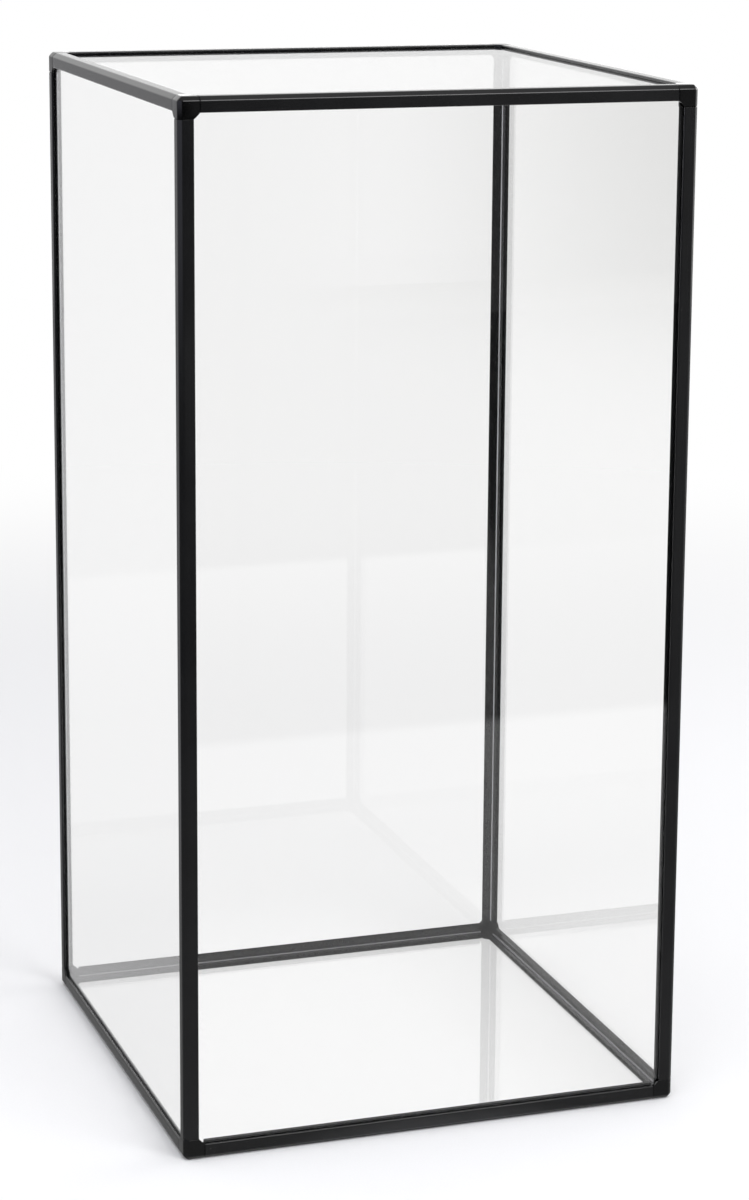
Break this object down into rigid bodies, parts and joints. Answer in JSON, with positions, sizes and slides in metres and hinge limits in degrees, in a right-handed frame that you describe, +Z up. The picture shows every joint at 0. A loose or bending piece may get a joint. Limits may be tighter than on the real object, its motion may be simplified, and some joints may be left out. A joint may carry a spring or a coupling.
{
  "type": "display case",
  "caption": "Tall square display case of clear acrylic sheets in a black edge profile, with moulded corner connectors and a lift-off top.",
  "frame": {"origin": "centre of the footprint, on the surface that the case stands on", "axes": "+Z up, +X to the right seen from the front, the front faces -Y"},
  "size_m": [0.305, 0.305, 0.61],
  "materials": {
    "edge_profile": "satin black anodised",
    "corner_connector": "glossy black moulded",
    "clear_acrylic": "clear polished"
  },
  "bodies": {
    "case": {"post_front_left": "edge_profile", "post_front_right": "edge_profile", "post_back_left": "edge_profile", "post_back_right": "edge_profile", "bottom_rail_front": "edge_profile", "bottom_rail_back": "edge_profile", "bottom_rail_left": "edge_profile", "bottom_rail_right": "edge_profile", "bottom_corner_front_left": "corner_connector", "bottom_corner_front_right": "corner_connector", "bottom_corner_back_left": "corner_connector", "bottom_corner_back_right": "corner_connector", "front_panel": "clear_acrylic", "back_panel": "clear_acrylic", "left_panel": "clear_acrylic", "right_panel": "clear_acrylic", "base_panel": "clear_acrylic"},
    "lid": {"top_rail_front": "edge_profile", "top_rail_back": "edge_profile", "top_rail_left": "edge_profile", "top_rail_right": "edge_profile", "top_corner_front_left": "corner_connector", "top_corner_front_right": "corner_connector", "top_corner_back_left": "corner_connector", "top_corner_back_right": "corner_connector", "top_panel": "clear_acrylic"}
  },
  "joints": [
    {"name": "lid_lift", "type": "slide", "parent": "case", "child": "lid", "axis": [0, 0, 1], "range_m": [0, 0.3]}
  ]
}
